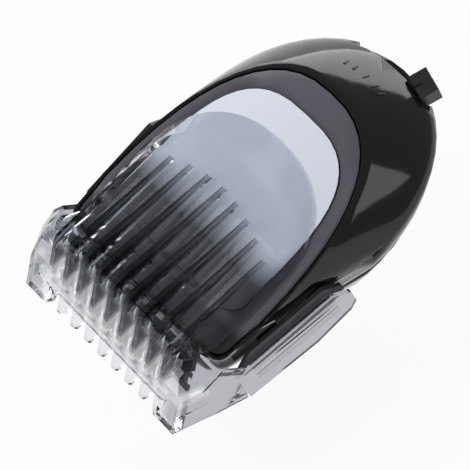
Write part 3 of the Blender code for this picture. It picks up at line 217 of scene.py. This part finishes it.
def dress(nodes, material):
    """Give a finish to CAD nodes."""
    for name in nodes:
        slots = SKINS.get(name, NODES[name]).data.materials
        slots.clear()
        slots.append(material)


def deselect():
    """Start from nothing selected, in object mode."""
    if bpy.context.object and bpy.context.object.mode != "OBJECT":
        bpy.ops.object.mode_set(mode="OBJECT")
    bpy.ops.object.select_all(action="DESELECT")


def smooth_copy(node, angle):
    """Merged copy of a CAD node with smooth shading, which stands for the node."""
    deselect()
    piece = bpy.data.objects.new(f"{node}_skin", NODES[node].data.copy())
    bpy.context.scene.collection.objects.link(piece)
    bpy.context.view_layer.objects.active = piece
    piece.select_set(True)
    bpy.ops.object.mode_set(mode="EDIT")
    bpy.ops.mesh.select_all(action="SELECT")
    bpy.ops.mesh.remove_doubles(threshold=MERGE_DISTANCE)
    bpy.ops.object.mode_set(mode="OBJECT")
    bpy.ops.object.shade_smooth_by_angle(angle=math.radians(angle))
    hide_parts(node)
    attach(piece, BODY_OF[node])
    SKINS[node] = piece
    return piece


def nodes_in(slot):
    """Names of the CAD nodes in a material slot."""
    return [name for name, held in SLOT_OF.items() if held == slot]


class HeadFinish(bpy.types.PropertyGroup):
    """Colours of the head's finishes."""

    housing_colour: bpy.props.FloatVectorProperty(
        name="Housing", description="Polished black of the two housings", subtype="COLOR",
        default=(0.006, 0.006, 0.0065),
    )
    panel_colour: bpy.props.FloatVectorProperty(
        name="Panel", description="Satin grey of the face panel", subtype="COLOR", default=(0.105, 0.1, 0.12)
    )
    sheet_colour: bpy.props.FloatVectorProperty(
        name="Sheet", description="Pale bare sheet on the panel", subtype="COLOR", default=(0.80, 0.84, 0.92)
    )
    comb_colour: bpy.props.FloatVectorProperty(
        name="Comb", description="Tint of the clear comb", subtype="COLOR", default=(0.68, 0.70, 0.74)
    )
    trim_colour: bpy.props.FloatVectorProperty(
        name="Trim", description="Fine matte black of rails and selector", subtype="COLOR",
        default=(0.016, 0.016, 0.018),
    )


class DialSizes(bpy.types.PropertyGroup):
    """Sizes of the dial ticks."""

    tick_length: bpy.props.FloatProperty(
        name="Tick length", description="Length of one tick on the dome", default=2.3 * MM, unit="LENGTH"
    )
    tick_width: bpy.props.FloatProperty(
        name="Tick width", description="Width of one tick", default=0.42 * MM, unit="LENGTH"
    )
    tick_height: bpy.props.FloatProperty(
        name="Tick height", description="Height of one tick over the dome", default=0.12 * MM, unit="LENGTH"
    )
    tick_radius: bpy.props.FloatProperty(
        name="Tick radius", description="Distance of the ticks' middle from the selector's axis",
        default=19.4 * MM, unit="LENGTH",
    )


class SmoothMouldings(bpy.types.Operator):
    """Smooth-shaded skins for the rounded mouldings."""

    bl_idname = "trimmer.smooth_mouldings"
    bl_label = "Smooth mouldings"

    def execute(self, context):
        for node, angle in SMOOTH_ANGLES.items():
            smooth_copy(node, angle)
        return {"FINISHED"}


class FinishHousing(bpy.types.Operator):
    """Polished black housings, with a faint moulding ripple and fine dulling."""

    bl_idname = "trimmer.finish_housing"
    bl_label = "Finish housings"

    def execute(self, context):
        material, shader, body = finish("polished_black")
        where = shader.place()
        dull = shader.steps(shader.noise(where, 900.0, 4.0), 0.45, 0.8)
        ripple = shader.noise(where, 120.0, 1.0)
        body.inputs["Base Color"].default_value = (*context.scene.head_finish.housing_colour, 1.0)
        body.inputs["Specular IOR Level"].default_value = 0.42
        shader.feed(body.inputs["Roughness"], 0.07 + dull * 0.06)
        shader.feed(body.inputs["Normal"], shader.bump(ripple, 0.00004, 0.35))
        dress(nodes_in("gloss_black"), material)
        return {"FINISHED"}


class FinishPanel(bpy.types.Operator):
    """Satin grey panel and the pale bare sheet on it, each with painted shade at the front, under the comb.
    """

    bl_idname = "trimmer.finish_panel"
    bl_label = "Finish panel and sheet"

    def execute(self, context):
        colours = context.scene.head_finish
        material, shader, body = finish("satin_grey")
        where = shader.place()
        grain = shader.noise(where, 9000.0, 3.0)
        cloud = shader.noise(where, 60.0, 2.0)
        deep = [0.9 * part for part in colours.panel_colour]
        light = [1.1 * part for part in colours.panel_colour]
        along = shader.deck()[1]
        satin = shader.blend(cloud, deep, light)
        # Painted shade: the panel's front, under the comb, turns near-black.
        front_shade = shader.steps(along, *PANEL_FRONT)
        shader.feed(body.inputs["Base Color"], shader.tint(front_shade, satin, PANEL_PAINTED_SHADE))
        shader.feed(body.inputs["Roughness"], 0.42 + grain * 0.14)
        shader.feed(body.inputs["Normal"], shader.bump(grain, 0.00003, 0.5))
        dress(nodes_in("panel_grey"), material)

        material, shader, body = finish("pale_sheet")
        fibre = shader.noise(shader.place((1.0, 0.25, 1.0)), 4000.0, 4.0)
        deep = [0.95 * part for part in colours.sheet_colour]
        light = [1.03 * part for part in colours.sheet_colour]
        along = shader.deck()[1]
        pale = shader.blend(fibre, deep, light)
        # Painted shade: the sheet's front, under the comb, turns near-black.
        front_shade = shader.steps(along, *SHEET_FADE)
        shader.feed(body.inputs["Base Color"], shader.tint(front_shade, pale, SHEET_PAINTED_SHADE))
        shader.feed(body.inputs["Roughness"], 0.38 + fibre * 0.12)
        shader.feed(body.inputs["Normal"], shader.bump(fibre, 0.00002, 0.4))
        dress(nodes_in("label_white"), material)
        return {"FINISHED"}


class FinishComb(bpy.types.Operator):
    """Clear comb with soft flow marks, painted shade on the ribs, painted light on the fins, a lighter
    painted shade on the sides and a painted light on the rougher bar.
    """

    bl_idname = "trimmer.finish_comb"
    bl_label = "Finish comb"

    def execute(self, context):
        material, shader, body = finish("clear_smoke")
        tint = context.scene.head_finish.comb_colour
        flow = shader.noise(shader.place((1.0, 0.2, 1.0)), 500.0, 2.0)
        across, along, over = shader.deck()
        ahead = shader.steps(along, *COMB_AHEAD)
        turn = shader.node("ShaderNodeMath", {"operation": "PINGPONG"}, {0: across, 1: RIB_PITCH / 2})
        # Painted shade: dark rib plates on top and dark rib fronts down to the fins.
        front_rib_shade = shader.steps(turn, RIB_HALF + RIB_SOFT, RIB_HALF) * shader.steps(over, *FIN_FOOT) * ahead
        rib_shade = shader.steps(over, *RIB_FOOT) * (1.0 - ahead) + front_rib_shade
        wide = shader.node("ShaderNodeMath", {"operation": "ABSOLUTE"}, {0: across})
        flank = shader.steps(wide, *FLANK)
        # Bar zone: painted light in the colour, and a rougher surface.
        bar_zone = shader.steps(over, *BAR_BOTTOM) * shader.steps(over, *BAR_TOP) * ahead
        sheet = shader.blend(flow, [0.94 * part for part in tint], tint)
        # Painted light: the fins and front are lighter, as if lit through from the front.
        fins_lit = shader.tint(ahead, sheet, FIN_PAINTED_LIGHT)
        # Painted shade: the comb's sides are darker.
        sides_shaded = shader.tint(flank, fins_lit, FLANK_PAINTED_SHADE)
        # Painted shade on the ribs.
        ribs_shaded = shader.tint(rib_shade * (1.0 - flank), sides_shaded, RIB_PAINTED_SHADE)
        # Painted light: a near-white bar.
        shader.feed(body.inputs["Base Color"], shader.tint(bar_zone, ribs_shaded, BAR_PAINTED_LIGHT))
        shader.feed(body.inputs["Roughness"], 0.04 + flow * 0.05 + bar_zone * 0.4)
        shader.feed(body.inputs["Normal"], shader.bump(flow, 0.00005, 0.3))
        body.inputs["Transmission Weight"].default_value = 1.0
        body.inputs["IOR"].default_value = 1.3
        dress(nodes_in("clear_comb"), material)
        return {"FINISHED"}


class FinishTrim(bpy.types.Operator):
    """Matte black rails, selector, button and blade holder."""

    bl_idname = "trimmer.finish_trim"
    bl_label = "Finish trim"

    def execute(self, context):
        material, shader, body = finish("fine_matte_black")
        where = shader.place()
        grain = shader.noise(where, 7000.0, 3.0)
        rub = shader.steps(shader.noise(where, 350.0, 3.0), 0.5, 0.75)
        colour = context.scene.head_finish.trim_colour
        worn = [1.8 * part for part in colour]
        shader.feed(body.inputs["Base Color"], shader.blend(rub, colour, worn))
        shader.feed(body.inputs["Roughness"], 0.4 - rub * 0.1 + grain * 0.1)
        shader.feed(body.inputs["Normal"], shader.bump(grain, 0.00004, 0.6))
        dress(nodes_in("matte_black"), material)
        return {"FINISHED"}


class FinishWorks(bpy.types.Operator):
    """Nylon, steel and rubber of the cutter and the drive."""

    bl_idname = "trimmer.finish_works"
    bl_label = "Finish cutter and drive"

    def execute(self, context):
        for slot, colour, rough in (
            ("grey_nylon", (0.3, 0.3, 0.31), 0.45), ("white_nylon", (0.8, 0.8, 0.77), 0.4),
            ("rubber", (0.03, 0.03, 0.03), 0.7),
        ):
            material, shader, body = finish(f"moulded_{slot}")
            where = shader.place()
            cloud = shader.noise(where, 300.0, 3.0)
            grain = shader.noise(where, 6000.0, 2.0)
            deep = [0.88 * part for part in colour]
            shader.feed(body.inputs["Base Color"], shader.blend(cloud, deep, colour))
            shader.feed(body.inputs["Roughness"], rough + grain * 0.15)
            shader.feed(body.inputs["Normal"], shader.bump(grain, 0.00003, 0.5))
            dress(nodes_in(slot), material)

        material, shader, body = finish("ground_steel")
        streak = shader.noise(shader.place((0.04, 1.0, 1.0)), 9000.0, 3.0)
        body.inputs["Metallic"].default_value = 1.0
        shader.feed(body.inputs["Base Color"], shader.blend(streak, (0.5, 0.5, 0.51), (0.66, 0.66, 0.66)))
        shader.feed(body.inputs["Roughness"], 0.2 + streak * 0.18)
        shader.feed(body.inputs["Normal"], shader.bump(streak, 0.00001, 0.5))
        dress(nodes_in("steel"), material)
        return {"FINISHED"}


def selector_axis():
    """Matrix of the selector's axis at rest: its Z along the axis, its Y towards the slot."""
    for joint in frame["record"]["behaviour"]["joints"]:
        if joint["name"] == "selector_swing":
            up = Vector(joint["axis"]).normalized()
            across = Vector((1, 0, 0))
            along = up.cross(across)
            turn = Matrix((across, along, up)).transposed().to_4x4()
            span = math.radians(joint["range_deg"][1] - joint["range_deg"][0])
            return Matrix.Translation(joint["pos_m"]) @ turn, span
    raise RuntimeError("the selector has no joint")


class AddTicks(bpy.types.Operator):
    """Five ticks on the dome, one at each setting of the selector."""

    bl_idname = "trimmer.add_ticks"
    bl_label = "Add dial ticks"

    def execute(self, context):
        sizes = context.scene.dial_sizes
        axis, span = selector_axis()
        made = []
        for i in range(TICK_COUNT):
            angle = span * (0.5 - i / (TICK_COUNT - 1))
            deselect()
            bpy.ops.mesh.primitive_plane_add(size=1.0)
            tick = context.object
            tick.name = f"dial_tick_{i + 1}"
            bpy.ops.object.mode_set(mode="EDIT")
            bpy.ops.mesh.select_all(action="SELECT")
            bpy.ops.mesh.subdivide(number_cuts=TICK_CUTS)
            bpy.ops.object.mode_set(mode="OBJECT")
            outward = Matrix.Translation((0, sizes.tick_radius, TICK_RAISE))
            place = axis @ Matrix.Rotation(angle, 4, "Z") @ outward
            size = Matrix.Diagonal((sizes.tick_width, sizes.tick_length, 1.0, 1.0))
            tick.data.transform(place @ size)
            wrap = tick.modifiers.new("on_dome", "SHRINKWRAP")
            wrap.target = NODES["upper_housing"]
            wrap.wrap_method = "NEAREST_SURFACEPOINT"
            wrap.offset = TICK_OFFSET
            thick = tick.modifiers.new("raise", "SOLIDIFY")
            thick.thickness = sizes.tick_height
            thick.offset = 1.0
            soften = tick.modifiers.new("soften", "BEVEL")
            soften.width = TICK_BEVEL
            soften.segments = 2
            for name in ("on_dome", "raise", "soften"):
                bpy.ops.object.modifier_apply(modifier=name)
            made.append(tick)
        material, shader, body = finish("tick_black")
        where = shader.place()
        grain = shader.noise(where, 5000.0, 2.0)
        body.inputs["Base Color"].default_value = (0.004, 0.004, 0.004, 1.0)
        shader.feed(body.inputs["Roughness"], 0.3 + grain * 0.2)
        for tick in made:
            tick.data.materials.append(material)
            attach(tick, "housing")
        return {"FINISHED"}


class BuildStage(bpy.types.Operator):
    """White floor, soft lamps, world and the camera."""

    bl_idname = "trimmer.build_stage"
    bl_label = "Build stage"

    def execute(self, context):
        self.add_floor()
        self.add_world(context.scene)
        self.add_lamps()
        self.add_camera(context.scene)
        context.scene.view_settings.view_transform = "Standard"
        return {"FINISHED"}

    def add_floor(self):
        """White floor with a round plinth under the collar, low enough for the comb to slide off."""
        deselect()
        bpy.ops.mesh.primitive_plane_add(size=FLOOR_SIZE, location=(0, 0, -PLINTH_HEIGHT))
        floor = bpy.context.object
        floor.name = "floor"
        deselect()
        middle = -(PLINTH_HEIGHT + PLINTH_GAP) / 2
        bpy.ops.mesh.primitive_cylinder_add(
            vertices=PLINTH_SIDES, radius=PLINTH_RADIUS, depth=PLINTH_HEIGHT - PLINTH_GAP,
            location=(0, 0, middle),
        )
        plinth = bpy.context.object
        plinth.name = "plinth"
        material, shader, body = finish("white_floor")
        tree = material.node_tree
        path = tree.nodes.new("ShaderNodeLightPath")
        seen = Value(shader, path.outputs["Is Camera Ray"]) + Value(shader, path.outputs["Is Glossy Ray"])
        seen = seen + Value(shader, path.outputs["Is Transmission Ray"])
        clamp = shader.node("ShaderNodeClamp", None, {"Value": seen, "Max": 1.0})
        body.inputs["Base Color"].default_value = (0.9, 0.9, 0.9, 1.0)
        body.inputs["Roughness"].default_value = 0.9
        glow = shader.node("ShaderNodeEmission", None, {"Color": (1, 1, 1, 1), "Strength": 1.0})
        principled = Value(shader, body.outputs[0])
        mixed = shader.node("ShaderNodeMixShader", None, {0: clamp * WHITE_SHARE, 1: principled, 2: glow})
        shader.feed(tree.nodes["Material Output"].inputs["Surface"], mixed)
        for piece in (floor, plinth):
            piece.data.materials.append(material)

    def add_world(self, scene):
        """White to the camera and through clear plastic, a dim studio to the rest."""
        world = bpy.data.worlds.new("studio")
        world.use_nodes = True
        scene.world = world
        shader = Shader(world.node_tree)
        path = world.node_tree.nodes.new("ShaderNodeLightPath")
        seen = Value(shader, path.outputs["Is Camera Ray"])
        seen = seen + Value(shader, path.outputs["Is Transmission Ray"])
        share = shader.node("ShaderNodeClamp", None, {"Value": seen, "Max": 1.0})
        dim = shader.node(
            "ShaderNodeBackground", None, {"Color": STUDIO_COLOUR, "Strength": STUDIO_STRENGTH}
        )
        white = shader.node("ShaderNodeBackground", None, {"Color": (1, 1, 1, 1), "Strength": 1.0})
        mixed = shader.node("ShaderNodeMixShader", None, {0: share, 1: dim, 2: white})
        shader.feed(world.node_tree.nodes["World Output"].inputs["Surface"], mixed)

    def add_lamps(self):
        """Key over the comb, right strip, left fill and rear card; only strip and card show in gloss."""
        for name, place, size, power, mirrored in LAMPS:
            deselect()
            bpy.ops.object.light_add(type="AREA", location=place)
            lamp = bpy.context.object
            lamp.name = name
            lamp.data.shape = "RECTANGLE"
            lamp.data.size, lamp.data.size_y = size
            lamp.data.energy = power
            lamp.visible_glossy = mirrored
            aim = LAMP_AIM - Vector(place)
            lamp.rotation_euler = aim.to_track_quat("-Z", "Y").to_euler()

    def add_camera(self, scene):
        """Camera at the photograph's angle and distance."""
        towards = Vector(CAMERA_SIDE).normalized()
        deselect()
        bpy.ops.object.camera_add(location=CAMERA_TARGET + towards * CAMERA_DISTANCE)
        camera = bpy.context.object
        camera.rotation_euler = (-towards).to_track_quat("-Z", "Y").to_euler()
        camera.data.sensor_width = 36.0
        frame_width = FRAME_PIXELS / PIXELS_PER_METRE
        camera.data.lens = CAMERA_DISTANCE * camera.data.sensor_width / frame_width
        camera.data.clip_start = 0.01
        scene.camera = camera


PIECES = (
    SmoothMouldings, FinishHousing, FinishPanel, FinishComb, FinishTrim, FinishWorks, AddTicks, BuildStage,
)


class TrimmerPanel(bpy.types.Panel):
    """Steps that dress the head."""

    bl_idname = "VIEW3D_PT_trimmer_head"
    bl_label = "Trimmer head"
    bl_space_type = "VIEW_3D"
    bl_region_type = "UI"
    bl_category = "Trimmer head"

    def draw(self, context):
        """List the sizes, the colours and the steps."""
        for group in (context.scene.head_finish, context.scene.dial_sizes):
            for name in group.__annotations__:
                self.layout.prop(group, name)
        for piece in PIECES:
            self.layout.operator(piece.bl_idname)


CLASSES = (HeadFinish, DialSizes, *PIECES, TrimmerPanel)


def register():
    """Add the classes and the scene's groups."""
    for item in CLASSES:
        bpy.utils.register_class(item)
    bpy.types.Scene.head_finish = bpy.props.PointerProperty(type=HeadFinish)
    bpy.types.Scene.dial_sizes = bpy.props.PointerProperty(type=DialSizes)


def unregister():
    """Take the classes and the scene's groups away."""
    del bpy.types.Scene.dial_sizes
    del bpy.types.Scene.head_finish
    for item in reversed(CLASSES):
        bpy.utils.unregister_class(item)


def main():
    """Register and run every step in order."""
    register()
    bpy.ops.trimmer.smooth_mouldings()
    bpy.ops.trimmer.finish_housing()
    bpy.ops.trimmer.finish_panel()
    bpy.ops.trimmer.finish_comb()
    bpy.ops.trimmer.finish_trim()
    bpy.ops.trimmer.finish_works()
    bpy.ops.trimmer.add_ticks()
    bpy.ops.trimmer.build_stage()
    deselect()


if __name__ == "__main__":
    main()
